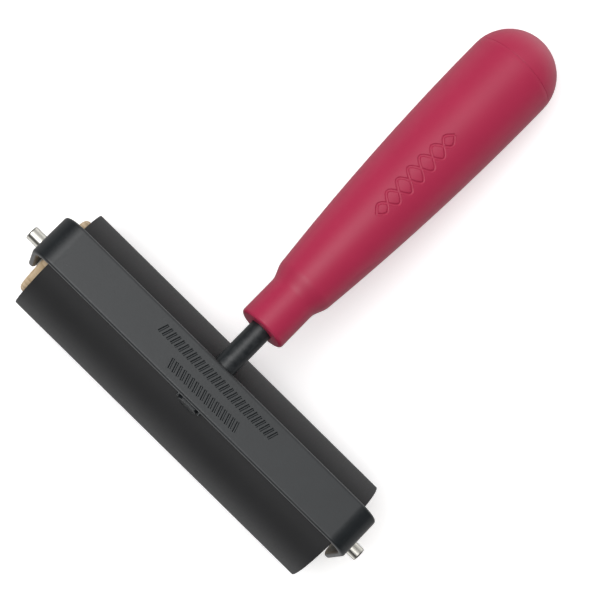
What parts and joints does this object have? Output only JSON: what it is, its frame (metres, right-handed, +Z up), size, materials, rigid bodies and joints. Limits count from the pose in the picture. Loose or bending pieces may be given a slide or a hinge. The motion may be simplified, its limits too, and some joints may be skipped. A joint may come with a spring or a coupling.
{
  "type": "rubber brayer",
  "caption": "Hand roller with a black rubber sleeve on a wooden core, turning in a bent steel yoke with a rounded red plastic handle.",
  "frame": {"origin": "centre of the bounding box's footprint, on the table that the roller and the handle's end rest on", "axes": "+X along the roller's axle, +Y from the roller towards the handle's end, +Z up from the table"},
  "size_m": [0.1206, 0.146, 0.0412],
  "materials": {
    "black_paint": "satin black powder coat on steel, slightly textured",
    "red_plastic": "satin cranberry-red moulded plastic",
    "bright_steel": "bright nickel-plated steel rod",
    "black_rubber": "matte ground soft rubber",
    "pale_wood": "bare turned hardwood",
    "white_nylon": "natural white nylon"
  },
  "bodies": {
    "frame": {"yoke": "black_paint", "shaft": "black_paint", "left_weld_bead": "black_paint", "right_weld_bead": "black_paint", "handle": "red_plastic", "end_cap": "red_plastic", "axle": "bright_steel"},
    "roller": {"rubber_sleeve": "black_rubber", "wood_core": "pale_wood", "left_bush": "white_nylon", "right_bush": "white_nylon"}
  },
  "joints": [
    {"name": "roller_spin", "type": "hinge", "parent": "frame", "child": "roller", "pos_m": [0, -0.05708, 0.01588], "axis": [1, 0, 0], "continuous": true}
  ]
}
